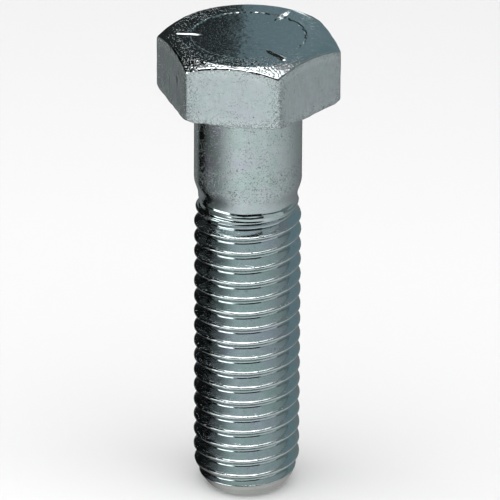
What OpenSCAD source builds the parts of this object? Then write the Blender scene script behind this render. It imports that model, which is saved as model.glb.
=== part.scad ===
// Hex cap screw, 1/2-13 UNC x 2 in, SAE grade 5, zinc plated.
// Millimetres, +Z towards the head, origin at the centre of the bearing face.
// The real screw is one forging. Each region below is a closed solid that meets its
// neighbours face to face.

/* [Head] */
// Width across two opposite flats of the hexagon
across_flats = 19.05; // [18.67:0.01:19.3]
// Height of the head above the bearing face
head_height = 7.9; // [7.67:0.01:8.2]
// Diameter of the flat top inside the 30 degree chamfer
top_flat_d = 18.0; // [16.8:0.1:18.4]
// Diameter of the shallow forged recess in the top
dish_d = 13.65; // [12:0.05:15]
// Depth of the shallow forged recess in the top
dish_depth = 0.15; // [0.05:0.01:0.4]
// Thickness of the washer face under the head
washer_face_t = 0.4; // [0.3:0.05:0.6]
// Diameter of the washer face under the head
washer_face_d = 18.1; // [17:0.1:18.6]

/* [Grade marks] */
// Length of each radial grade mark
mark_length = 3.5; // [2.5:0.1:3.6]
// Width of each radial grade mark at its foot
mark_width = 0.8; // [0.6:0.05:1.2]
// Height of each radial grade mark above the top
mark_height = 0.25; // [0.1:0.05:0.4]
// Angle of the first grade mark from a corner of the hexagon
mark_angle = 8.5; // [0:0.5:60]

/* [Shank] */
// Diameter of the plain body
body_d = 12.7; // [12.7:0.01:12.8]
// Length of the full-size plain body, under the bearing face
body_length = 10.0; // [6:0.1:14]
// Radius of the fillet under the head
fillet_r = 0.6; // [0.3:0.05:1.1]
// Length of the taper from the body down to the thread blank
taper_length = 2.2; // [1.5:0.1:4]
// Diameter of the thread blank where the taper ends
blank_d = 11.7; // [11.43:0.01:12]

/* [Thread] */
// Length from the bearing face to the end of the point
length = 50.0; // [45:0.1:50.8]
// Major diameter of the thread
thread_major_d = 12.66; // [12.39:0.01:12.66]
// Turns of thread in one inch of length
threads_per_inch = 13; // [12:1:13]
// Length over which the thread grows from the blank to its full depth
runout_length = 2.9; // [2:0.1:5]
// Diameter of the flat end of the point
end_d = 9.3; // [9:0.1:10.2]
// Length of the tapered point
point_length = 3.3; // [2.6:0.1:4]

/* [Hidden] */

zinc_light = [0.70, 0.73, 0.74];
zinc_mid = [0.62, 0.66, 0.67];

$fn = 96;
eps = 0.001;
cut = 1;
mm_per_inch = 25.4;

// ---- Head ----
head_chamfer_angle = 30;
hex_sides = 6;
hex_step = 360 / hex_sides;
corner_d = 21.86;
corner_bevel_in = 0.45;
corner_bevel_up = 0.3;
hex_d = across_flats / cos(hex_step / 2);
corner_drop = (corner_d - top_flat_d) / 2 * tan(head_chamfer_angle);
dish_rim = 0.18;

// ---- Grade marks ----
mark_count = 3;
mark_step = 360 / mark_count;
mark_root = 0.25;
mark_outer_r = 8.8;
mark_inner_r = mark_outer_r - mark_length;
mark_crest_width = mark_width / 3;
mark_inner_ramp = 0.9;
mark_outer_ramp = 0.2;

// ---- Thread: 60 degree Unified form with a rounded-root depth of 17/24 of the sharp height ----
pitch = mm_per_inch / threads_per_inch;
flank_angle = 30;
sharp_height = pitch * cos(flank_angle);
thread_depth = sharp_height * 17 / 24;
crest_flat = pitch / 8;
flank = thread_depth * tan(flank_angle);
root_flat = pitch - crest_flat - 2 * flank;
major_r = thread_major_d / 2;
root_r = major_r - thread_depth;
blank_r = blank_d / 2;
end_r = end_d / 2;
thread_top = -(body_length + taper_length);
point_top = -(length - point_length);
point_shoulder_r = 5.65;
point_shoulder_share = 0.42;
point_shoulder_z = -length + point_length * point_shoulder_share;

// One root of the thread passes through this height at this angle about +Z.
root_z_at_angle = -14.95;
root_angle = 191;
thread_segments = 64;
rows_per_turn = 4;
spare_turns = 4;
taper_steps = 8;
fillet_steps = 6;

function lerp(a, b, t) = a + (b - a) * t;
function clamp01(t) = max(0, min(1, t));
function smooth(t) = t * t * (3 - 2 * t);

// Radius of the taper between the plain body and the thread blank
function taper_radius(t) = lerp(body_d / 2, blank_r, smooth(clamp01(t)));

// Share of the full thread depth that has been formed at a height
function formed(z) = clamp01((thread_top - z) / runout_length);
function crest_at(z) = lerp(blank_r, major_r, formed(z));
function root_at(z) = lerp(blank_r, root_r, formed(z));

// Radius of the point's envelope at a height
function envelope(z) =
    z > point_top ? major_r :
    z > point_shoulder_z
        ? lerp(major_r, point_shoulder_r, (point_top - z) / (point_top - point_shoulder_z))
        : lerp(point_shoulder_r, end_r, clamp01((point_shoulder_z - z) / (point_shoulder_z + length)));

// Height of the thread root line that the row count starts from
function root_z(angle) = root_z_at_angle + pitch * (angle - root_angle) / 360;

// Share of the flank climbed at a distance below a root line
function climb(d) = clamp01((min(d, pitch - d) - root_flat / 2) / flank);
function below_root(angle, z) = let(d = root_z(angle) - z) d - pitch * floor(d / pitch);

// Radius of the thread surface at an angle and a height
function thread_radius(angle, z) =
    min(envelope(z), lerp(root_at(z), crest_at(z), climb(below_root(angle, z))));

// Heights of the profile's four edges in each turn, counted down from a root line
function row_drop(j) =
    let(k = j % rows_per_turn)
    pitch * floor(j / rows_per_turn)
    + (k == 0 ? root_flat / 2 :
       k == 1 ? root_flat / 2 + flank :
       k == 2 ? root_flat / 2 + flank + crest_flat :
       pitch - root_flat / 2);

function distinct(f) = f[0] != f[1] && f[1] != f[2] && f[2] != f[0];
function on_circle(r, angle, z) = [r * cos(angle), r * sin(angle), z];

// ---- Solids ----

module hex_head() {
    color(zinc_light)
    difference() {
        intersection() {
            cylinder(h = head_height, d = hex_d, $fn = hex_sides);
            rotate_extrude() head_outline();
        }
        rotate_extrude() dish_outline();
    }
}

module head_outline() {
    corner_r = corner_d / 2;
    polygon([
        [0, washer_face_t],
        [corner_r - corner_bevel_in, washer_face_t],
        [corner_r, washer_face_t + corner_bevel_up],
        [corner_r, head_height - corner_drop],
        [top_flat_d / 2, head_height],
        [0, head_height]
    ]);
}

module dish_outline() {
    polygon([
        [0, head_height - dish_depth],
        [dish_d / 2 - dish_rim, head_height - dish_depth],
        [dish_d / 2, head_height],
        [dish_d / 2, head_height + cut],
        [0, head_height + cut]
    ]);
}

module washer_face() {
    color(zinc_mid)
    difference() {
        cylinder(h = washer_face_t, d = washer_face_d);
        translate([0, 0, -cut])
        cylinder(h = washer_face_t + 2 * cut, r = body_d / 2 + fillet_r);
    }
}

module grade_marks() {
    color(zinc_light)
    difference() {
        for (i = [0 : mark_count - 1])
            rotate(mark_angle + hex_step + mark_step * i)
            grade_mark();
        hex_head();
    }
}

module grade_mark() {
    intersection() {
        translate([mark_inner_r, 0, head_height])
        rotate([90, 0, 90])
        linear_extrude(mark_length)
        mark_section();
        rotate_extrude() mark_ends();
    }
}

module mark_section() {
    foot = -dish_depth - mark_root;
    polygon([
        [-mark_width / 2, foot],
        [mark_width / 2, foot],
        [mark_width / 2, 0],
        [mark_crest_width / 2, mark_height],
        [-mark_crest_width / 2, mark_height],
        [-mark_width / 2, 0]
    ]);
}

module mark_ends() {
    foot = head_height - dish_depth - cut;
    top = head_height + mark_height;
    polygon([
        [mark_inner_r, foot],
        [mark_outer_r, foot],
        [mark_outer_r, head_height],
        [mark_outer_r - mark_outer_ramp, top],
        [mark_inner_r + mark_inner_ramp, top],
        [mark_inner_r, head_height - dish_depth]
    ]);
}

module plain_shank() {
    color(zinc_light)
    rotate_extrude()
    polygon(concat(
        [[0, washer_face_t], [0, -body_length], [body_d / 2, -body_length]],
        [for (i = [0 : fillet_steps])
            let(a = 90 * i / fillet_steps)
            [body_d / 2 + fillet_r * (1 - cos(a)), -fillet_r * (1 - sin(a))]],
        [[body_d / 2 + fillet_r, washer_face_t]]
    ));
}

module thread_transition() {
    color(zinc_mid)
    rotate_extrude()
    polygon(concat(
        [[0, -body_length], [0, thread_top]],
        [for (i = [taper_steps : -1 : 0])
            let(t = i / taper_steps)
            [taper_radius(t), -body_length - taper_length * t]]
    ));
}

// A solid of the thread surface between two heights, closed by a flat face at each
module thread_between(z_hi, z_lo) {
    n = thread_segments;
    turns_above = ceil((z_hi - root_z(0)) / pitch) + 1;
    rows = rows_per_turn * (ceil((z_hi - z_lo) / pitch) + spare_turns);
    row_z = function(angle, j) root_z(angle) + pitch * turns_above - row_drop(j);
    hi_ring = n * (rows + 1);
    lo_ring = hi_ring + n;
    index = function(i, j)
        let(z = row_z(360 * i / n, j))
        z > z_hi - eps ? hi_ring + i % n :
        z < z_lo + eps ? lo_ring + i % n :
        i < n ? i * (rows + 1) + j :
        j - rows_per_turn;

    sides = [for (i = [0 : n - 1]) for (j = [0 : rows - 1])
        let(a = index(i, j), b = index(i + 1, j), c = index(i + 1, j + 1), d = index(i, j + 1))
        each [for (f = [[a, b, c], [a, c, d]]) if (distinct(f)) f]];

    polyhedron(
        points = concat(
            [for (i = [0 : n - 1]) for (j = [0 : rows])
                let(angle = 360 * i / n, z = row_z(angle, j))
                on_circle(thread_radius(angle, z), angle, z)],
            [for (i = [0 : n - 1])
                let(angle = 360 * i / n)
                on_circle(thread_radius(angle, z_hi), angle, z_hi)],
            [for (i = [0 : n - 1])
                let(angle = 360 * i / n)
                on_circle(thread_radius(angle, z_lo), angle, z_lo)]
        ),
        faces = concat(
            sides,
            [[for (i = [n - 1 : -1 : 0]) hi_ring + i]],
            [[for (i = [0 : n - 1]) lo_ring + i]]
        )
    );
}

module threaded_shank() {
    color(zinc_mid)
    thread_between(thread_top, point_top);
}

module chamfered_point() {
    color(zinc_light)
    thread_between(point_top, -length);
}

hex_head();
washer_face();
grade_marks();
plain_shank();
thread_transition();
threaded_shank();
chamfered_point();
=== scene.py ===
import math

import bpy
import numpy as np
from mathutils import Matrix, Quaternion, Vector


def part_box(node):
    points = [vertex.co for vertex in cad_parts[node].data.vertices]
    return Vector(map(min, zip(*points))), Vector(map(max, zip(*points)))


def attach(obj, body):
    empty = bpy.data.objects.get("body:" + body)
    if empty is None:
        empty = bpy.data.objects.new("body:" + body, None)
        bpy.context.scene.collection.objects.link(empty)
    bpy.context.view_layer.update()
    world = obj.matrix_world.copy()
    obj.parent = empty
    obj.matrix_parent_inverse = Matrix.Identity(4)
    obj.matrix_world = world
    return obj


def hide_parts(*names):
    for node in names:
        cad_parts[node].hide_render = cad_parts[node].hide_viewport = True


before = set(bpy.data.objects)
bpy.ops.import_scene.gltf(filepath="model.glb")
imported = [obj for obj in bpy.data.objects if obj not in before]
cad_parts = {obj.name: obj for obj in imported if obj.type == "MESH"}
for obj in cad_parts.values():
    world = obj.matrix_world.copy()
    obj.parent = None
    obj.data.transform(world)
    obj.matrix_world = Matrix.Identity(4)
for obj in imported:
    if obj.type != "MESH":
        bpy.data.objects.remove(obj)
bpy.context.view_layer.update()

# Everything below is in the row frame: +Z towards the head, origin at the bearing face.
# Shapes are worked out in millimetres and stored in metres.
MM = 0.001


def high(node, axis):
    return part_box(node)[1][axis] / MM


def low(node, axis):
    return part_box(node)[0][axis] / MM


# ---- Sizes the CAD bodies give ----
HEAD_TOP = high("hex_head", 2)
HEAD_UNDER = low("hex_head", 2)
FLAT_HALF = high("hex_head", 1)
CORNER_R = high("hex_head", 0)
WASHER_R = high("washer_face", 0)
MARK_TOP = high("grade_marks", 2)
BODY_R = high("thread_transition", 0)
BODY_END = low("plain_shank", 2)
THREAD_TOP = high("threaded_shank", 2)
POINT_TOP = low("threaded_shank", 2)
END_Z = low("chamfered_point", 2)

# ---- Sizes of the head that a box doesn't give ----
TOP_LAND_R = 9.0
CHAMFER_SLOPE_IN = 0.42
CHAMFER_SLOPE_OUT = 0.735
DISH_R = 6.825
DISH_DEPTH = 0.15
DISH_RIM = 0.11
DISH_STEP = 0.05
CHAMFER_BLEND = 0.16
CORNER_FILLET = 0.45
CORNER_BEVEL_R = 10.48
CORNER_BEVEL_SLOPE = 0.3 / 0.45
TOP_EDGE = 0.2
UNDER_EDGE = 0.16
FILLET_R = 0.6
SEAT_INNER_R = 5.0
# Azimuth of the roughest part of the top, and azimuth and half width in degrees of the dented chamfer.
ROUGH_SIDE = math.radians(220)
BLOTCH_CENTRE = 290
BLOTCH_HALF = 12
# Each mark: azimuth, lean, inner end, half widths clockwise and anticlockwise of its crest,
# share of the full rise, and roundness of its section (0 is a plain ridge, 1 is a wave).
MARKS = (
    (66.5, 3.0, 4.9, 0.50, 0.45, 0.75, 0.15),
    (188.5, 0.0, 5.0, 0.30, 0.36, 0.6, 1.0),
    (311.0, 5.0, 4.1, 0.62, 0.50, 0.9, 1.0),
)
MARK_OUTER_R = 8.8
MARK_SUNK = 0.035
MARK_BLEND = 1.6

# ---- Sizes of the thread ----
PITCH = 25.4 / 13
SHARP_HEIGHT = PITCH * math.cos(math.radians(30))
THREAD_DEPTH = SHARP_HEIGHT * 17 / 24
CREST_FLAT = PITCH / 8
FLANK = THREAD_DEPTH * math.tan(math.radians(30))
ROOT_FLAT = PITCH - CREST_FLAT - 2 * FLANK
MAJOR_R = 6.33
ROOT_R = MAJOR_R - THREAD_DEPTH
BLANK_R = 5.85
RUNOUT = 2.9
SHOULDER_R = 5.65
SHOULDER_Z = END_Z + 0.42 * (POINT_TOP - END_Z)
END_R = 4.65
END_EDGE = 0.42
ROOT_Z_AT_ANGLE = -14.95
ROOT_ANGLE = 191
CREST_ROUND = 0.15
ROOT_ROUND = 0.22
CREST_SEAM = 0.03
CREST_DENT = 0.009
POINT_CUT_Z = -49.64
THREAD_COLUMNS = 144
CORE_R = 3.0

# ---- The lines the rolling dies leave where the thread begins ----
ROLL_START = math.radians(278)
ROLL_HIGH = -12.2
ROLL_LOW = -14.4
ROLL_STEP = 0.43
ROLL_DEPTH = 0.022
SWELL_Z = -12.85
SWELL_HALF = 0.36
SWELL_RISE = 0.24


# ---------------------------------------------------------------- small maths

def lerp(a, b, t):
    return a + (b - a) * t


def clamp01(t):
    return np.clip(t, 0.0, 1.0)


def smooth(t):
    t = clamp01(t)
    return t * t * (3 - 2 * t)


def soft_positive(t, width):
    """max(t, 0) with its corner rounded over width to either side."""
    return np.where(t > width, t, np.where(t < -width, 0.0, (t + width) ** 2 / (4 * width)))


def soft_min(a, b, width):
    width = np.maximum(width, 1e-6)
    overlap = np.maximum(width - np.abs(a - b), 0) / width
    return np.minimum(a, b) - overlap ** 2 * width / 4


def waves(angle, z, seed, count, turns, per_mm):
    """Smooth seeded unevenness of about -1 to 1 that closes on itself round the axis."""
    rng = np.random.default_rng(seed)
    total = np.zeros(np.broadcast(angle, z).shape)
    for _ in range(count):
        k = rng.integers(turns[0], turns[1] + 1)
        f = rng.uniform(per_mm[0], per_mm[1]) * rng.choice([-1, 1])
        total = total + np.cos(k * angle + math.tau * f * z + rng.uniform(0, math.tau))
    return total / math.sqrt(count)


def ripples(x, y, seed, count, per_mm):
    """Smooth seeded unevenness of about -1 to 1 over a flat surface."""
    rng = np.random.default_rng(seed)
    total = np.zeros(np.broadcast(x, y).shape)
    for _ in range(count):
        way = rng.uniform(0, math.tau)
        f = rng.uniform(per_mm[0], per_mm[1]) * math.tau
        total = total + np.cos(f * (x * math.cos(way) + y * math.sin(way)) + rng.uniform(0, math.tau))
    return total / math.sqrt(count)


def on_circle(radius, angle, z):
    """Points, with the last axis x, y, z."""
    radius, angle, z = np.broadcast_arrays(radius, angle, z)
    return np.stack([radius * np.cos(angle), radius * np.sin(angle), z], axis=-1)


# ---------------------------------------------------------------- meshes

def make_piece(name, points, faces, sharp=None, marks=None):
    """A mesh object from points in millimetres. sharp says which points an edge between is kept crisp."""
    mesh = bpy.data.meshes.new(name)
    mesh.from_pydata((np.asarray(points) * MM).tolist(), [], faces)
    mesh.update()
    mesh.polygons.foreach_set("use_smooth", [True] * len(mesh.polygons))
    if sharp is not None:
        ends = np.zeros(len(mesh.edges) * 2, dtype=np.int64)
        mesh.edges.foreach_get("vertices", ends)
        a, b = sharp[ends[0::2]], sharp[ends[1::2]]
        crisp = mesh.attributes.new("sharp_edge", "BOOLEAN", "EDGE")
        crisp.data.foreach_set("value", ((a == b) & (a > 0)).tolist())
    for key, values in (marks or {}).items():
        layer = mesh.attributes.new(key, "FLOAT", "POINT")
        layer.data.foreach_set("value", np.asarray(values, dtype=np.float32))
    piece = bpy.data.objects.new(name, mesh)
    bpy.context.scene.collection.objects.link(piece)
    return piece


def lathe_faces(rings, columns, first, top_pole, bottom_pole):
    """Faces of stacked rings, highest ring first, closed by a pole at each end."""
    faces = []
    for c in range(columns):
        n = (c + 1) % columns
        faces.append((top_pole, first + c, first + n))
    for r in range(rings - 1):
        a = first + r * columns
        b = a + columns
        for c in range(columns):
            n = (c + 1) % columns
            faces.append((a + c, b + c, b + n, a + n))
    last = first + (rings - 1) * columns
    for c in range(columns):
        n = (c + 1) % columns
        faces.append((last + c, bottom_pole, last + n))
    return faces


def lathe_piece(name, rings, top_z, bottom_z, crisp_rings=(), marks=None):
    """A closed piece from an array of rings (ring, column, xyz)."""
    count, columns = rings.shape[:2]
    points = np.concatenate([[[0, 0, top_z]], rings.reshape(-1, 3), [[0, 0, bottom_z]]])
    sharp = np.zeros(len(points), dtype=np.int64)
    for r in crisp_rings:
        r = r % count
        sharp[1 + r * columns:1 + (r + 1) * columns] = r + 1
    full = {}
    for key, values in (marks or {}).items():
        flat = values.reshape(-1)
        full[key] = np.concatenate([[flat[0]], flat, [flat[-1]]])
    faces = lathe_faces(count, columns, 1, 0, len(points) - 1)
    return make_piece(name, points, faces, sharp, full)


def bezier(p0, p1, p2, steps):
    """Points after p0 up to p2 on a quadratic curve; each p is a pair of arrays (radius, height)."""
    out = []
    for i in range(1, steps + 1):
        t = i / steps
        a, b, c = (1 - t) ** 2, 2 * t * (1 - t), t * t
        out.append((a * p0[0] + b * p1[0] + c * p2[0], a * p0[1] + b * p1[1] + c * p2[1]))
    return out


# ---------------------------------------------------------------- the head

def hexagon_columns():
    """Angles round the head, closer together at the six corners. A corner lies at angle 0."""
    near = (0.0, 0.3, 0.6, 0.9, 1.25, 1.8, 2.4)
    between = np.arange(3.0, 30.01, 0.6)
    half = np.concatenate([near, between, [30.0]])
    half = np.unique(half.round(4))
    sector = np.concatenate([half, (60 - half)[::-1][1:-1]])
    return np.radians(np.concatenate([sector + 60 * k for k in range(6)]))


def hexagon_radius(angle):
    """Distance from the axis to the side of the head, with the corners filleted."""
    off_corner = (np.degrees(angle) + 30) % 60 - 30
    centre = (FLAT_HALF - CORNER_FILLET) / math.cos(math.radians(30))
    delta = np.radians(np.abs(off_corner))
    flat = FLAT_HALF / np.cos(math.radians(30) - delta)
    under_root = np.maximum(CORNER_FILLET ** 2 - (centre * np.sin(delta)) ** 2, 0)
    fillet = centre * np.cos(delta) + np.sqrt(under_root)
    tangent = math.atan2(CORNER_FILLET / 2, centre + CORNER_FILLET * math.cos(math.radians(30)))
    return np.minimum(np.where(delta < tangent, fillet, flat), CORNER_R)


def chamfer_drop(radius):
    """How far the rounded top chamfer lies below the top at a radius."""
    out = np.maximum(radius - TOP_LAND_R, 0)
    span = CORNER_R - TOP_LAND_R
    return CHAMFER_SLOPE_IN * out + (CHAMFER_SLOPE_OUT - CHAMFER_SLOPE_IN) / (2 * span) * out ** 2


def under_rise(radius):
    """How far the bevel under the corners lies above the underside at a radius."""
    return np.maximum(radius - CORNER_BEVEL_R, 0) * CORNER_BEVEL_SLOPE


def top_height(radius, angle=0.0):
    """Height of the top of the head: a shallow dish, its rim, the land and the chamfer."""
    drift = 0.03 * waves(angle, 0.0, 13, 10, (2, 30), (0, 0))
    width = DISH_RIM * (1 + 0.45 * np.clip(waves(angle, 0.0, 14, 16, (12, 90), (0, 0)), -1.6, 1.6))
    rim = smooth((radius + drift - (DISH_R - width)) / width)
    uneven = np.clip(0.8 + 0.6 * waves(angle, 0.0, 15, 18, (5, 60), (0, 0)), 0.1, 1.6) - 1
    step = DISH_STEP * (1 + uneven * smooth((radius - 6.45) / 0.25))
    bowl = (DISH_DEPTH - DISH_STEP) * (1 - np.minimum(radius / DISH_R, 1) ** 2)
    dish = HEAD_TOP - step * (1 - rim) - bowl
    lip = 0.005 * np.exp(-((radius + drift - DISH_R - 0.1) / 0.07) ** 2)
    edge = soft_positive(radius - TOP_LAND_R, CHAMFER_BLEND) - np.maximum(radius - TOP_LAND_R, 0)
    return dish + lip - chamfer_drop(radius) - CHAMFER_SLOPE_IN * edge


def head_rings(angle, side, top_of_side, foot):
    """The smooth head as rings of (radius, height), and the ring numbers where its parts end."""
    rings, ends = [], {}
    dish = [0.8, 1.8, 2.8, 3.7, 4.5, 5.2, 5.8, 6.2, 6.45]
    rim = [6.54, 6.6, 6.65, 6.7, 6.74, 6.78, 6.82, 6.86, 6.9, 6.95, 7.0]
    for r in dish + rim + list(np.arange(7.08, 9.21, 0.106)):
        rings.append((np.full_like(angle, r), top_height(np.full_like(angle, r), angle)))
    ends["dish"] = len(dish + rim) + 1
    ends["land"] = len(rings)
    worn = TOP_EDGE * (1 + 0.35 * waves(angle, 0.0, 11, 9, (5, 40), (0, 0)))
    for s in np.linspace(0, 1, 17)[1:]:
        r = lerp(9.2, side - worn, s)
        rings.append((r, top_height(r)))
    ends["chamfer"] = len(rings) - 1
    rings += bezier(rings[-1], (side, top_of_side), (side, top_of_side - worn), 5)
    ends["top_edge"] = len(rings) - 1
    chip = UNDER_EDGE * (1 + 0.4 * waves(angle, 0.0, 12, 9, (5, 40), (0, 0)))
    for s in np.linspace(0, 1, 13)[1:]:
        rings.append((side, lerp(top_of_side - worn, foot + chip, s)))
    ends["side"] = len(rings) - 1
    tucked = side - chip
    rings += bezier(rings[-1], (side, foot), (tucked, HEAD_UNDER + under_rise(tucked)), 4)
    ends["under_edge"] = len(rings) - 1
    for s in (0.35, 0.7, 1.0):
        r = lerp(tucked, 9.25, s)
        rings.append((r, HEAD_UNDER + under_rise(r)))
    rings.append((np.full_like(angle, SEAT_INNER_R), np.full_like(angle, HEAD_UNDER)))
    return rings, ends


def build_head():
    """The forged hexagon: its smooth rings, made uneven, with marks that say where the plate is worn."""
    angle = hexagon_columns()
    side = hexagon_radius(angle)
    top_of_side = HEAD_TOP - chamfer_drop(side)
    foot = HEAD_UNDER + under_rise(side)
    ring, ends = head_rings(angle, side, top_of_side, foot)
    radius = np.array([r for r, _ in ring])
    height = np.array([z for _, z in ring])
    rows = np.arange(len(ring))[:, None]
    on_side = (rows >= ends["land"]) & (rows <= ends["under_edge"])
    on_top = rows < ends["chamfer"]
    x, y = radius * np.cos(angle), radius * np.sin(angle)

    # The sides: shallow waves, and a few flatter dents.
    wavy = 0.012 * waves(angle, height, 21, 14, (3, 26), (0.05, 0.5))
    dents = 0.05 * np.maximum(waves(angle, height, 22, 16, (10, 60), (0.2, 0.9)) - 0.9, 0)
    radius = radius - np.where(on_side, np.maximum(0.014 + wavy + dents, 0.001), 0)

    # The top: rough land on one side, a dented stretch of chamfer, and a dish that is nearly smooth.
    land = smooth((radius - 6.85) / 0.3) * on_top
    rough_side = 0.06 + 0.94 * smooth((np.cos(angle - ROUGH_SIDE) + 0.45) / 0.7)
    coarse = 0.010 * rough_side * ripples(x, y, 23, 14, (0.25, 0.9))
    bumps = 0.042 * np.maximum(ripples(x, y, 25, 34, (1.3, 3.4)) - 0.55, 0)
    height = height + land * rough_side * (coarse + bumps - 0.012)
    on_chamfer = smooth((radius - TOP_LAND_R) / 0.3) * on_top
    blotched = smooth(1.4 - np.abs(np.degrees(angle) - BLOTCH_CENTRE) / BLOTCH_HALF)
    blotches = 0.11 * np.maximum(ripples(x, y, 26, 40, (1.9, 3.4)) - 0.2, 0)
    height = height - on_chamfer * blotched * blotches
    in_dish = (1 - land) * (rows < ends["dish"])
    height = height + in_dish * 0.0025 * ripples(x, y, 24, 10, (0.1, 0.35))

    # Marks for the material: wear on the edges and corners, edge where pits gather, grit for fine bumps.
    off_corner = np.abs((np.degrees(angle) + 30) % 60 - 30)
    upper_edge = (rows >= ends["top_edge"] - 4) & (rows <= ends["top_edge"] + 1)
    lower_edge = (rows >= ends["side"] - 1) & (rows <= ends["under_edge"])
    wear = np.where(upper_edge, 1.0, np.where(lower_edge, 0.7, np.zeros_like(radius)))
    wear = np.maximum(wear, on_side * 0.7 * np.exp(-(off_corner / 1.6) ** 2)[None, :])
    near_foot = np.exp(-np.maximum(height - foot, 0) / 0.7)
    near_top = np.exp(-np.maximum(top_of_side - height, 0) / 0.5)
    near_corner = np.exp(-off_corner / 4.0)[None, :]
    flank = on_side & (rows >= ends["top_edge"])
    edge = np.where(flank, np.clip(near_foot + near_top + near_corner, 0, 1), 0.7 * land - 1)
    grit = np.maximum(0.17 * rough_side, (0.85 * land - 0.45 * on_chamfer) * rough_side)
    grit = np.where(flank, 0.05 + 1.1 * edge ** 2, grit)
    rings = on_circle(radius, angle, height)
    marks = {"grit": grit, "wear": wear, "edge": edge}
    return lathe_piece("hex_head_forging", rings, top_height(np.float64(0)), HEAD_UNDER, marks=marks)


def build_washer_face():
    """The bearing ring under the head: a closed ring with a rounded outer edge."""
    angle = np.radians(np.arange(0, 360, 2.0))
    inner = BODY_R + FILLET_R
    loop = [(inner, HEAD_UNDER), (8.0, HEAD_UNDER), (WASHER_R, HEAD_UNDER)]
    loop += [(WASHER_R, 0.2), (WASHER_R, 0.12)]
    edge = bezier((WASHER_R, 0.12), (WASHER_R, 0.0), (WASHER_R - 0.14, 0.0), 4)
    loop += [(float(r), float(z)) for r, z in edge]
    loop += [(8.4, 0.0), (7.8, 0.0), (7.3, 0.0), (inner, 0.0), (inner, 0.2)]
    crisp = {0: 1, 2: 2, len(loop) - 2: 3}
    count, columns = len(loop), len(angle)
    points = np.concatenate([on_circle(r, angle, z) for r, z in loop])
    sharp = np.zeros(len(points), dtype=np.int64)
    for r, mark in crisp.items():
        sharp[r * columns:(r + 1) * columns] = mark
    faces = []
    for r in range(count):
        a, b = r * columns, (r + 1) % count * columns
        for c in range(columns):
            n = (c + 1) % columns
            faces.append((a + c, b + c, b + n, a + n))
    wear = np.repeat([1.0 if 3 <= r <= 8 else 0.25 for r in range(count)], columns)
    return make_piece("washer_face_ring", points, faces, sharp,
                      {"grit": np.full(len(points), 0.3), "wear": wear, "edge": wear})


def build_mark(number, azimuth, lean, inner_r, clockwise, anticlockwise, rise, roundness):
    """One raised grade mark: a rounded ridge that swells out of the dish and tapers at both ends."""
    along = np.linspace(0, 1, 45)
    across = np.linspace(-1, 1, 27)
    u, w = np.meshgrid(along, across, indexing="ij")
    r = lerp(inner_r, MARK_OUTER_R, u)
    uneven = waves(np.zeros_like(u), r, 40 + number, 6, (0, 0), (0.2, 0.5))
    ends = smooth(u / 0.3) * smooth((1 - u) / 0.16)
    half = np.where(w < 0, clockwise, anticlockwise) * (1 + 0.05 * uneven) * (0.45 + 0.55 * ends)
    middle = (inner_r + MARK_OUTER_R) / 2
    a, b = math.radians(azimuth), math.radians(azimuth + lean)
    x = middle * math.cos(a) + (r - middle) * math.cos(b) - w * half * math.sin(b)
    y = middle * math.sin(a) + (r - middle) * math.sin(b) + w * half * math.cos(b)
    swell = (MARK_TOP - HEAD_TOP) * ends * (rise - 0.015 * np.abs(uneven))
    in_dish = HEAD_TOP - DISH_DEPTH + (DISH_DEPTH - DISH_STEP) * (r / DISH_R) ** 2
    bare = lerp(in_dish, HEAD_TOP, smooth((r - DISH_R) / MARK_BLEND + 0.5))
    section = lerp(1 - np.abs(w), np.cos(math.pi / 2 * w) ** 2, roundness)
    z = bare - MARK_SUNK + swell * section
    rows, cols = u.shape
    top = np.stack([x, y, z], axis=-1).reshape(-1, 3)
    foot = HEAD_TOP - DISH_DEPTH - 0.3
    under = np.stack([x, y, np.full_like(z, foot)], axis=-1).reshape(-1, 3)
    points = np.concatenate([top, under])
    base = rows * cols
    faces = []
    for i in range(rows - 1):
        for j in range(cols - 1):
            near, far = i * cols + j, (i + 1) * cols + j
            faces.append((near, far, far + 1, near + 1))
            faces.append((base + near, base + near + 1, base + far + 1, base + far))
    rim = [i * cols for i in range(rows)]
    rim += [(rows - 1) * cols + j for j in range(1, cols)]
    rim += [i * cols + cols - 1 for i in range(rows - 2, -1, -1)]
    rim += [j for j in range(cols - 2, 0, -1)]
    for p, q in zip(rim, rim[1:] + rim[:1]):
        faces.append((p, base + p, base + q, q))
    sharp = np.zeros(len(points), dtype=np.int64)
    sharp[rim] = 1
    wear = np.concatenate([(smooth(1 - np.abs(w)) * ends).reshape(-1), np.zeros(base)])
    marks = {"grit": np.full(len(points), 0.15), "wear": wear, "edge": np.zeros(len(points))}
    return make_piece(f"grade_mark_{number + 1}", points, faces, sharp, marks)


# ---------------------------------------------------------------- the shank

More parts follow.
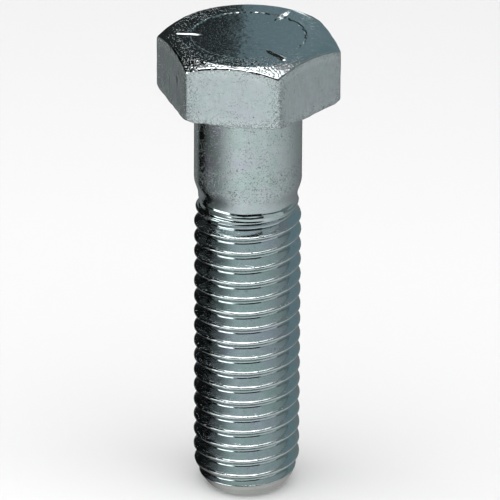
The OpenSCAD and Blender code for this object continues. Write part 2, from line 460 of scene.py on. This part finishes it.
def build_plain_shank():
    """The full-size body, with the fillet that joins it to the head."""
    angle = np.radians(np.arange(0, 360, 2.0))
    fillet = [(BODY_R + FILLET_R * (1 - math.cos(a)), -FILLET_R * (1 - math.sin(a)))
              for a in np.radians(np.arange(90, -0.1, -11.25))]
    body = [(BODY_R, z) for z in np.linspace(-FILLET_R, BODY_END, 30)[1:]]
    seat = BODY_R + FILLET_R
    outline = [(3.5, HEAD_UNDER), (seat, HEAD_UNDER), (seat, 0.2)] + fillet + body
    outline += [(CORE_R, BODY_END)]
    radius = np.array([p[0] for p in outline])[:, None] + 0 * angle
    height = np.array([p[1] for p in outline])[:, None] + 0 * angle
    on_body = smooth((-FILLET_R - height) / 1.0) * smooth((height - BODY_END) / 0.8)
    on_body = on_body * (radius > BODY_R - 0.01)
    radius = radius - on_body * (0.005 + 0.0012 * waves(angle, height, 31, 14, (2, 18), (0.02, 0.35)))
    crisp = (1, 3, len(outline) - 2)
    shape = radius.shape
    marks = {"grit": np.full(shape, 0.22), "wear": np.full(shape, 0.0),
             "edge": 0.2 + 0.2 * smooth((-6.0 - height) / 3.0)}
    rings = on_circle(radius, angle, height)
    return lathe_piece("plain_shank_body", rings, HEAD_UNDER, BODY_END, crisp, marks)


def taper_radius(t):
    """Radius of the taper from the body (t = 0) to the thread blank (t = 1)."""
    return lerp(BODY_R, BLANK_R, smooth(t))


def roll_lines(angle, z):
    """Shallow rings where the thread begins, with a swell at the place the dies touched first."""
    z = z + 0.03 * waves(angle, z, 61, 9, (1, 9), (0.02, 0.2))
    window = smooth((ROLL_HIGH - z) / 0.15) * smooth((z - ROLL_LOW) / 0.7)
    uneven = 1 + 0.2 * waves(angle, z, 62, 10, (2, 24), (0.1, 0.6))
    first_touch = smooth((np.cos(angle - ROLL_START) - 0.2) / 0.5)
    swell = SWELL_RISE * first_touch * np.exp(-((z - SWELL_Z) / SWELL_HALF) ** 2)
    lines = ROLL_DEPTH * np.cos(math.tau * (z + 12.62) / ROLL_STEP) * uneven
    return window * (swell + lines)


def build_transition():
    """The taper from the body down to the blank the thread is rolled on."""
    angle = np.radians(np.arange(0, 360, 2.0))
    share = np.linspace(0, 1, 41)
    outline = [(CORE_R, BODY_END)]
    outline += [(taper_radius(t), lerp(BODY_END, THREAD_TOP, t)) for t in share]
    outline += [(CORE_R, THREAD_TOP)]
    radius = np.array([float(p[0]) for p in outline])[:, None] + 0 * angle
    height = np.array([float(p[1]) for p in outline])[:, None] + 0 * angle
    outside = radius > CORE_R + 1
    middle = smooth((BODY_END - height) / 0.6) * smooth((height - THREAD_TOP) / 0.6) * outside
    radius = radius + middle * 0.002 * waves(angle, height, 33, 12, (2, 16), (0.05, 0.5))
    radius = radius + outside * roll_lines(angle, height)
    shape = radius.shape
    crisp = (1, len(outline) - 2)
    marks = {"grit": np.full(shape, 0.4), "wear": np.full(shape, 0.0),
             "edge": 0.4 - 0.4 * smooth((BODY_END - height) / 1.6)}
    rings = on_circle(radius, angle, height)
    return lathe_piece("thread_transition_taper", rings, BODY_END, THREAD_TOP, crisp, marks)


# ---------------------------------------------------------------- the thread

def root_z(angle):
    """Height of one root line of the thread at an angle about the axis."""
    return ROOT_Z_AT_ANGLE + PITCH * (np.degrees(angle) - ROOT_ANGLE) / 360


def formed(z):
    """Share of the full thread depth reached at a height in the run-out."""
    return clamp01((THREAD_TOP - z) / RUNOUT)


def envelope(z):
    """Largest radius the point's taper leaves at a height."""
    upper = lerp(MAJOR_R, SHOULDER_R, clamp01((POINT_TOP - z) / (POINT_TOP - SHOULDER_Z)))
    lower = lerp(SHOULDER_R, END_R, clamp01((SHOULDER_Z - z) / (SHOULDER_Z - END_Z)))
    return np.where(z > SHOULDER_Z, upper, lower)


def below_root(angle, z):
    """Distance below the nearest root line above."""
    return np.mod(root_z(angle) - z, PITCH)


def climb(d):
    """Share of the thread's height reached at a distance below a root line, with round crest and root."""
    t = (np.minimum(d, PITCH - d) - ROOT_FLAT / 2) / FLANK
    from_root = soft_positive(t, ROOT_ROUND)
    return 1 - soft_positive(1 - from_root, CREST_ROUND)


def thread_radius(angle, z):
    """Radius of the rolled thread, with a fine seam and small dents along its crest."""
    d = below_root(angle, z)
    share = climb(d)
    form = formed(z)
    crest, root = lerp(BLANK_R, MAJOR_R, form), lerp(BLANK_R, ROOT_R, form)
    radius = lerp(root, crest, share)
    wander = 0.02 * waves(angle, z, 53, 10, (2, 26), (0.02, 0.2))
    seam = np.exp(-((d - PITCH / 2 - wander) / 0.045) ** 2)
    seam = seam * (0.55 + 0.6 * waves(angle, z, 51, 14, (6, 66), (0.1, 0.6)))
    radius = radius - CREST_SEAM * form * np.maximum(seam, 0)
    radius = radius - CREST_DENT * form * share * (1 + waves(angle, z, 52, 16, (4, 50), (0.1, 0.8))) / 2
    radius = radius + roll_lines(angle, z)
    blend = 0.05 * smooth((POINT_TOP - z) / 0.5)
    return soft_min(envelope(z), radius, blend)


def thread_rows():
    """Distances below a root line of the rows of one turn, closest at the rounded edges."""
    half = [0.0, 0.07, 0.12, 0.165, 0.21, 0.26, 0.32, 0.385, 0.45]
    half += [0.525, 0.6, 0.66, 0.72, 0.775, 0.82, 0.86, 0.9, 0.94]
    return np.array(half + [PITCH / 2] + [PITCH - h for h in half[:0:-1]])


def build_thread(name, z_hi, z_lo, end_rings, crisp_low):
    """The helical surface between two heights; rows follow the helix, and flat rings close it."""
    columns = THREAD_COLUMNS
    drops = thread_rows()
    per_turn = len(drops)
    turns_above = math.ceil((z_hi - root_z(0.0)) / PITCH) + 1
    rows = per_turn * (math.ceil((z_hi - z_lo) / PITCH) + 4)
    angle = np.arange(columns) * math.tau / columns
    drop = np.concatenate([drops + PITCH * k for k in range(rows // per_turn + 1)])[:rows + 1]
    z = root_z(angle)[:, None] + PITCH * turns_above - drop[None, :]
    grid = on_circle(thread_radius(angle[:, None], z), angle[:, None], z)
    grid_share = climb(below_root(angle[:, None], z)) * formed(z)

    count = columns * (rows + 1)
    index = np.arange(count).reshape(columns, rows + 1)
    hi, lo = count + np.arange(columns), count + columns + np.arange(columns)
    near = 0.012
    index = np.where(z > z_hi - near, hi[:, None], np.where(z < z_lo + near, lo[:, None], index))
    # Once round, column 0 comes back one turn lower.
    once_round = np.concatenate([np.full(per_turn, hi[0]), index[0, :-per_turn]])
    following = np.vstack([index[1:], once_round[None, :]])

    a, b = index[:, :-1].ravel(), index[:, 1:].ravel()
    d, c = following[:, :-1].ravel(), following[:, 1:].ravel()
    triangles = np.concatenate([np.stack([a, b, c], 1), np.stack([a, c, d], 1)])
    real = (triangles[:, 0] != triangles[:, 1]) & (triangles[:, 1] != triangles[:, 2])
    real &= triangles[:, 2] != triangles[:, 0]
    triangles = triangles[real]

    hi_ring = on_circle(thread_radius(angle, z_hi), angle, z_hi)
    lo_ring = on_circle(thread_radius(angle, z_lo), angle, z_lo)
    points = [grid.reshape(-1, 3), hi_ring, lo_ring]
    shares = [grid_share.ravel(), np.full(columns, 0.5), np.full(columns, 0.5)]
    faces = triangles.tolist()

    top_inner = on_circle(CORE_R, angle, z_hi)
    points += [top_inner, [[0, 0, z_hi]]]
    first = count + 2 * columns
    for c in range(columns):
        n = (c + 1) % columns
        faces.append((first + c, int(hi[c]), int(hi[n]), first + n))
        faces.append((first + columns, first + c, first + n))
    shares += [np.zeros(columns + 1)]
    start = first + columns + 1
    previous = lo
    for r, z_ring in end_rings:
        ring = start + np.arange(columns)
        points.append(on_circle(r, angle, z_ring))
        shares.append(np.full(columns, 0.6))
        for c in range(columns):
            n = (c + 1) % columns
            faces.append((int(previous[c]), int(ring[c]), int(ring[n]), int(previous[n])))
        previous, start = ring, start + columns
    points.append([[0, 0, end_rings[-1][1]]])
    shares.append(np.zeros(1))
    for c in range(columns):
        n = (c + 1) % columns
        faces.append((int(previous[c]), start, int(previous[n])))

    points = np.concatenate([np.asarray(p, dtype=float).reshape(-1, 3) for p in points])
    shares = np.concatenate(shares)
    sharp = np.zeros(len(points), dtype=np.int64)
    sharp[hi] = 1
    if crisp_low:
        sharp[lo] = 2

    used = np.zeros(len(points), dtype=bool)
    for f in faces:
        used[list(f)] = True
    renumber = np.cumsum(used) - 1
    faces = [tuple(int(renumber[v]) for v in f) for f in faces]
    points, shares, sharp = points[used], shares[used], sharp[used]
    marks = {"grit": 0.15 + 0.6 * smooth((shares - 0.8) / 0.2),
             "wear": smooth((shares - 0.75) / 0.25), "edge": 0.25 * shares}
    return make_piece(name, points, faces, sharp, marks)


def build_threaded_shank():
    ends = [(CORE_R, POINT_TOP)]
    return build_thread("threaded_shank_helix", THREAD_TOP, POINT_TOP, ends, crisp_low=True)


def build_point():
    """The thread fades out in the taper of the point, which ends in a flat face with a rounded edge."""
    cut_r = float(envelope(np.float64(POINT_CUT_Z)))
    edge = bezier((cut_r, POINT_CUT_Z), (END_R, END_Z), (END_R - END_EDGE, END_Z), 7)
    rings = [(float(r), float(z)) for r, z in edge]
    rings += [(4.0, END_Z), (3.4, END_Z), (2.4, END_Z), (1.2, END_Z)]
    return build_thread("chamfered_point_end", POINT_TOP, POINT_CUT_Z, rings, crisp_low=False)


# ---------------------------------------------------------------- materials

class Graph:
    """A short way to write shader nodes."""

    def __init__(self, tree):
        self.tree = tree

    def add(self, kind, inputs=None, **settings):
        node = self.tree.nodes.new(kind)
        for key, value in settings.items():
            setattr(node, key, value)
        for key, value in (inputs or {}).items():
            self.put(node.inputs[key], value)
        return node

    def put(self, socket, value):
        if isinstance(value, bpy.types.NodeSocket):
            self.tree.links.new(value, socket)
        else:
            socket.default_value = value

    def math(self, operation, a, b=0.0, c=0.0):
        return self.add("ShaderNodeMath", {0: a, 1: b, 2: c}, operation=operation).outputs[0]

    def noise(self, vector, scale, detail=2.0, rough=0.5, warp=0.0):
        return self.add("ShaderNodeTexNoise", {"Vector": vector, "Scale": scale, "Detail": detail,
                                               "Roughness": rough, "Distortion": warp}).outputs["Fac"]

    def remap(self, value, low_in, high_in, low_out=0.0, high_out=1.0):
        return self.add("ShaderNodeMapRange", {"Value": value, "From Min": low_in, "From Max": high_in,
                                               "To Min": low_out, "To Max": high_out}).outputs[0]

    def stretch(self, vector, scale, turn=(0, 0, 0)):
        return self.add("ShaderNodeMapping", {"Vector": vector, "Scale": scale, "Rotation": turn}).outputs[0]

    def mix(self, share, a, b, blend="MIX"):
        node = self.add("ShaderNodeMix", data_type="RGBA", blend_type=blend)
        self.put(node.inputs[0], share)
        self.put(node.inputs[6], a)
        self.put(node.inputs[7], b)
        return node.outputs[2]

    def attribute(self, name):
        return self.add("ShaderNodeAttribute", attribute_name=name).outputs["Fac"]


PIT_COLOR = [0.14, 0.155, 0.155, 1]
WORN_COLOR = [0.80, 0.83, 0.83, 1]
CLOUD_COLOR = [0.91, 0.92, 0.92, 1]
BUMP_DEPTH = 0.06 * MM


def zinc(name, tint, roughness, grain, pits, scratches, bloom_share):
    """Bright zinc plate: cool grey with green and violet bloom, pits, fine scratches and worn edges."""
    material = bpy.data.materials.new(name)
    material.use_nodes = True
    g = Graph(material.node_tree)
    shader = material.node_tree.nodes["Principled BSDF"]
    place = g.add("ShaderNodeTexCoord").outputs["Object"]
    mm = g.stretch(place, (1000, 1000, 1000))
    grit, wear, edge = g.attribute("grit"), g.attribute("wear"), g.attribute("edge")

    bloom = g.noise(mm, 0.3, 3.0, 0.55, 0.6)
    b = bloom_share
    green = [tint[0] * (1 - 0.045 * b), tint[1] * (1 + 0.01 * b), tint[2] * (1 - 0.03 * b), 1]
    plain = [tint[0], tint[1], tint[2], 1]
    violet = [tint[0] * (1 + 0.01 * b), tint[1] * (1 - 0.025 * b), tint[2] * (1 + 0.03 * b), 1]
    color = g.mix(g.remap(bloom, 0.38, 0.52), green, plain)
    color = g.mix(g.remap(bloom, 0.54, 0.68), color, violet)
    cloud = g.remap(g.noise(mm, 1.3, 5.0, 0.6), 0.3, 0.7)
    color = g.mix(1.0, color, g.mix(cloud, CLOUD_COLOR, [1, 1, 1, 1]), "MULTIPLY")

    patch = g.remap(g.noise(mm, 0.5, 3.0, 0.6), 0.42, 0.62)
    pit_area = g.math("MULTIPLY_ADD", edge, 1.6, g.math("MULTIPLY", patch, 0.4))
    pit_area = g.math("MINIMUM", g.math("MAXIMUM", pit_area, 0.0), 1.6)
    start = g.math("SUBTRACT", 0.69, g.math("MULTIPLY", pit_area, 0.10 * pits))
    big = g.remap(g.noise(mm, 4.2, 3.0, 0.6, 0.8), start, g.math("ADD", start, 0.06))
    small = g.remap(g.noise(mm, 9.0, 2.0, 0.5, 0.4), start, g.math("ADD", start, 0.08))
    pit = g.math("MAXIMUM", big, g.math("MULTIPLY", small, 0.8))
    color = g.mix(g.math("MULTIPLY", pit, 0.72), color, PIT_COLOR)
    color = g.mix(g.math("MULTIPLY", wear, 0.3), color, WORN_COLOR)
    g.put(shader.inputs["Base Color"], color)
    shader.inputs["Metallic"].default_value = 1.0

    worn = g.remap(g.noise(mm, 1.6, 4.0, 0.6), 0.35, 0.7, -0.04, 0.07)
    rough = g.math("ADD", worn, g.math("ADD", roughness, g.math("MULTIPLY", pit, 0.2)))
    rough = g.math("SUBTRACT", rough, g.math("MULTIPLY", wear, 0.04))
    g.put(shader.inputs["Roughness"], g.math("MAXIMUM", rough, 0.06))

    fine = g.remap(g.noise(mm, 4.5, 2.0, 0.6), 0.58, 0.70)
    broad = g.noise(mm, 1.1, 2.0, 0.5)
    grit_height = g.math("MULTIPLY", fine, g.math("MULTIPLY", grit, grain))
    streak_a = g.noise(g.stretch(mm, (2.6, 2.6, 0.2), (0.35, 0.15, 0.2)), 1.6, 2.0)
    streak_b = g.noise(g.stretch(mm, (0.3, 3.0, 3.0), (0.5, 0.8, 0.9)), 1.4, 2.0)
    lines = g.math("ADD", g.remap(streak_a, 0.70, 0.74), g.remap(streak_b, 0.70, 0.74))
    height = g.math("ADD", grit_height, g.math("MULTIPLY", broad, 0.3 * grain))
    height = g.math("SUBTRACT", height, g.math("MULTIPLY", pit, 0.3))
    lines = g.math("MULTIPLY", lines, g.remap(edge, -0.3, 0.0, 0.15, 1.0))
    height = g.math("SUBTRACT", height, g.math("MULTIPLY", lines, 0.16 * scratches))
    bump = g.add("ShaderNodeBump", {"Height": height, "Distance": BUMP_DEPTH, "Strength": 1.0})
    g.put(shader.inputs["Normal"], bump.outputs[0])
    return material


def flat_material(name, color):
    """A plain matt surface for the floor."""
    material = bpy.data.materials.new(name)
    material.use_nodes = True
    shader = material.node_tree.nodes["Principled BSDF"]
    shader.inputs["Base Color"].default_value = (*color, 1)
    shader.inputs["Roughness"].default_value = 0.9
    shader.inputs["Specular IOR Level"].default_value = 0.1
    return material


# ---------------------------------------------------------------- studio

CAMERA_AZIMUTH = math.radians(-78.885)
CAMERA_ELEVATION = math.radians(25.49)
CAMERA_DISTANCE = 800 * MM
CAMERA_ROLL = 0.0059
SENSOR = 36.0
LENS = SENSOR * 13.55
AIM_HEIGHT = -21 * MM
AIM_RIGHT = 0.30 * MM
AIM_UP = 1.1 * MM

TOWARDS_CAMERA = Vector((math.cos(CAMERA_AZIMUTH), math.sin(CAMERA_AZIMUTH), 0))
RIGHT = Vector((-math.sin(CAMERA_AZIMUTH), math.cos(CAMERA_AZIMUTH), 0))


def studio_point(right, back, up):
    """A point given in millimetres to the camera's right, away from the camera, and up."""
    return (RIGHT * right - TOWARDS_CAMERA * back + Vector((0, 0, up))) * MM


def add_camera():
    """The camera, looking down a little on the front of the bolt."""
    data = bpy.data.cameras.new("camera")
    data.sensor_width = SENSOR
    data.lens = LENS
    data.clip_start, data.clip_end = 0.05, 20
    camera = bpy.data.objects.new("camera", data)
    back = TOWARDS_CAMERA * math.cos(CAMERA_ELEVATION) + Vector((0, 0, math.sin(CAMERA_ELEVATION)))
    up = back.cross(RIGHT)
    aim = Vector((0, 0, AIM_HEIGHT)) + RIGHT * AIM_RIGHT + up * AIM_UP
    camera.location = aim + back * CAMERA_DISTANCE
    camera.rotation_mode = "QUATERNION"
    look = (-back).to_track_quat("-Z", "Y")
    camera.rotation_quaternion = look @ Quaternion((0, 0, 1), CAMERA_ROLL)
    bpy.context.scene.collection.objects.link(camera)
    bpy.context.scene.camera = camera


def stage_object(name, mesh, material, only_in_reflections=True):
    """An object of the set, which is not part of the bolt."""
    obj = bpy.data.objects.new(name, mesh)
    bpy.context.scene.collection.objects.link(obj)
    mesh.materials.append(material)
    if only_in_reflections:
        obj.visible_camera = False
        obj.visible_diffuse = False
        obj.visible_shadow = False
    return obj


def glow_material(name, color=None):
    """A surface that glows in its own vertex tone, or in one colour."""
    material = bpy.data.materials.new(name)
    material.use_nodes = True
    tree = material.node_tree
    tree.nodes.clear()
    g = Graph(tree)
    glow = g.add("ShaderNodeEmission")
    if color is None:
        g.put(glow.inputs["Color"], g.add("ShaderNodeAttribute", attribute_name="tone").outputs["Color"])
    else:
        glow.inputs["Color"].default_value = (*color, 1)
    out = g.add("ShaderNodeOutputMaterial")
    tree.links.new(glow.outputs[0], out.inputs["Surface"])
    return material


# Tone of the surround below the horizon, by degrees to the right of the camera's side.
FLOOR_TONES = (
    (-180, 0.10), (-168, 0.12), (-152, 0.20), (-140, 0.21), (-130, 0.17), (-125, 0.01), (-123, 0.0),
    (-106, 0.0),
    (-102, 0.05), (-98, 0.09), (-85, 0.125), (-73, 0.19), (-62, 0.28), (-53, 0.45), (-35, 0.73),
    (-18, 0.85), (0, 0.80), (16, 0.77), (35, 0.74), (50, 0.66), (71, 0.57), (98, 0.42), (122, 0.30),
    (143, 0.24), (164, 0.17), (180, 0.10),
)
# Tone of the surround's wall.
WALL_TONES = (
    (-180, 0.02), (-150, 0.005), (-120, 0.003), (-30, 0.003), (0, 0.004), (30, 0.01),
    (60, 0.10), (90, 0.2), (120, 0.22), (150, 0.22), (180, 0.2),
)
# Share of the floor tone by distance from the bolt, which shades its own foot.
FOOT_SHADE = ((0, 0.55), (5, 0.62), (7, 0.74), (13, 0.92), (25, 1.0))
SURROUND_R = 420
# Cards overhead: centre to the right, centre to the back, half width, half depth, tone.
# All lean alike to the left.
SKY = (
    (-274, 0, 326, 80, 4.5), (-252, -180, 348, 100, 4.5), (126, 0, 58, 80, 1.7),
    (172, -240, 60, 160, 1.7), (392, 0, 208, 80, 0.5), (410, -240, 178, 160, 0.5),
    (-300, 104, 120, 24, 4.5), (-15, 150, 165, 70, 0.3), (375, 150, 225, 70, 0.35),
)
SKY_LEAN = -0.183
SKY_HEIGHT = 400
# Hues of the surround: warm close to the bolt's foot, bluer on the wall from BLUE_FROM degrees on.
COOL = (0.93, 1.0, 1.01)
WARM = (1.04, 0.99, 0.94)
WARM_R = 10
BLUE = (0.86, 1.03, 1.07)
BLUE_FROM = 45


def tone_at(table, degrees):
    """Tone read off a table of (place, tone), straight between its rows."""
    return np.interp(degrees, [a for a, _ in table], [t for _, t in table])


def add_surround():
    """A tent of graded tone round the set, seen only in reflections."""
    degrees = np.arange(-180, 180, 2.0)
    rows = [(r, -49.9, 0.0) for r in (0.5, 5, 7, 13, 25, 70, 150, 280, SURROUND_R)]
    for e in range(4, 90, 6):
        a = math.radians(e)
        rows.append((SURROUND_R * math.cos(a), -50 + (SURROUND_R + 120) * math.sin(a), e / 90))
    points, tones = [], []
    for r, z, share in rows:
        for d in degrees:
            a = math.radians(d)
            points.append(studio_point(r * math.sin(a), -r * math.cos(a), z))
            low_tone = tone_at(FLOOR_TONES, d) * tone_at(FOOT_SHADE, r)
            value = low_tone if share == 0 else tone_at(WALL_TONES, d)
            hue = WARM if r < WARM_R else BLUE if share > 0 and d > BLUE_FROM else COOL
            tones.append([value * c for c in hue] + [1.0])
    columns = len(degrees)
    faces = []
    for r in range(len(rows) - 1):
        for c in range(columns):
            n = (c + 1) % columns
            faces.append((r * columns + c, r * columns + n, (r + 1) * columns + n, (r + 1) * columns + c))
    faces.append(tuple(range((len(rows) - 1) * columns, len(rows) * columns)))
    mesh = bpy.data.meshes.new("surround")
    mesh.from_pydata(points, [], faces)
    layer = mesh.attributes.new("tone", "FLOAT_COLOR", "POINT")
    layer.data.foreach_set("color", np.array(tones, dtype=np.float32).ravel())
    stage_object("surround", mesh, glow_material("surround_tone"))


def add_card(name, centre, across, upward, tone):
    """A flat card from its centre and its two half sides, in studio millimetres."""
    c, a, u = Vector(centre), Vector(across), Vector(upward)
    corners = [c - a - u, c + a - u, c + a + u, c - a + u]
    mesh = bpy.data.meshes.new(name)
    mesh.from_pydata([studio_point(*p) for p in corners], [], [(0, 1, 2, 3)])
    stage_object(name, mesh, glow_material(name + "_tone", tone))


def add_softbox(name, centre, target, width, height, radiance):
    """A square-edged soft light that the camera and the reflections don't see."""
    data = bpy.data.lights.new(name, "AREA")
    data.shape = "RECTANGLE"
    data.size, data.size_y = width * MM, height * MM
    data.energy = radiance * math.pi * width * height * MM * MM
    light = bpy.data.objects.new(name, data)
    light.location = studio_point(*centre)
    aim = studio_point(*target) - light.location
    light.rotation_mode = "QUATERNION"
    light.rotation_quaternion = aim.to_track_quat("-Z", "Y")
    light.visible_camera = False
    light.visible_glossy = False
    bpy.context.scene.collection.objects.link(light)


def add_studio():
    """A pale floor and soft light, with cards that only reflections see. (right, back, up) in mm."""
    floor_mesh = bpy.data.meshes.new("floor")
    half = 3.0
    z = END_Z * MM
    corners = [(-half, -half, z), (half, -half, z), (half, half, z), (-half, half, z)]
    floor_mesh.from_pydata(corners, [], [(0, 1, 2, 3)])
    floor = stage_object("floor", floor_mesh, flat_material("pale_floor", (0.6, 0.6, 0.6)), False)
    floor.visible_glossy = False

    world = bpy.data.worlds.new("world")
    world.use_nodes = True
    world.node_tree.nodes["Background"].inputs["Color"].default_value = (0.85, 0.85, 0.85, 1)
    bpy.context.scene.world = world

    add_surround()
    add_card("flag_back_left", (-25.9, 38, 38), (24.3, 0, 0), (0, 0, 38), (0.022, 0.026, 0.026))
    add_card("card_back_right", (74.6, 60, 50), (75.4, 0, 0), (0, 0, 50), (0.165, 0.235, 0.262))
    add_card("strip_back", (-2.7, 25, 7.5), (6.5, 0, 0), (0, 0, 2.5), (0.6, 0.63, 0.63))
    add_card("strip_mark", (7.2, 25, 10.5), (0.9, 0, 0), (0, 0, 4.5), (1.5, 1.6, 1.6))
    add_card("card_mark", (13.2, 26.6, 27.1), (3.6, -1.7, 0), (0, 0, 2.6), (2.6, 2.7, 2.7))
    add_card("flag_mark", (10.2, 7.9, 15.4), (2.6, -0.6, 0), (0, 0, 2.4), (0.165, 0.235, 0.262))
    add_card("card_left_front", (-127, -76, 25), (30, -52, 0), (0, 0, 50), (2.6, 2.7, 2.7))
    add_card("card_right_front", (128, -86, 25), (38, 56, 0), (0, 0, 50), (0.5, 0.56, 0.55))
    for number, (right, back, half_right, half_back, tone) in enumerate(SKY):
        centre = (right, back, SKY_HEIGHT)
        upward = (SKY_LEAN * half_back, half_back, 0)
        add_card(f"sky_{number}", centre, (half_right, 0, 0), upward, (tone, tone, tone))
    add_softbox("softbox_top", (0, -160, 410), (0, -160, 0), 1200, 480, 2.4)

    view = bpy.context.scene.view_settings
    view.view_transform = "Standard"
    view.look = "None"


# ---------------------------------------------------------------- assembly

ZINC = {
    "zinc_head": zinc("zinc_head_plate", (0.61, 0.65, 0.66), 0.11, 0.8, 0.9, 1.4, 0.6),
    "zinc_marks": zinc("zinc_marks_plate", (0.68, 0.71, 0.71), 0.12, 0.4, 0.2, 0.5, 0.5),
    "zinc_shank": zinc("zinc_shank_plate", (0.61, 0.65, 0.66), 0.11, 0.12, 1.2, 0.8, 1.3),
    "zinc_thread": zinc("zinc_thread_plate", (0.60, 0.655, 0.67), 0.10, 0.2, 0.4, 0.5, 0.8),
}

PIECES = [
    (build_head(), ("hex_head",), "zinc_head"),
    (build_washer_face(), ("washer_face",), "zinc_head"),
    (build_plain_shank(), ("plain_shank",), "zinc_shank"),
    (build_transition(), ("thread_transition",), "zinc_shank"),
    (build_threaded_shank(), ("threaded_shank",), "zinc_thread"),
    (build_point(), ("chamfered_point",), "zinc_thread"),
]
PIECES += [(build_mark(i, *m), ("grade_marks",), "zinc_marks") for i, m in enumerate(MARKS)]

for piece, nodes, slot in PIECES:
    piece.data.materials.append(ZINC[slot])
    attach(piece, "root")
    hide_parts(*nodes)

add_studio()
add_camera()

bpy.context.view_layer.update()
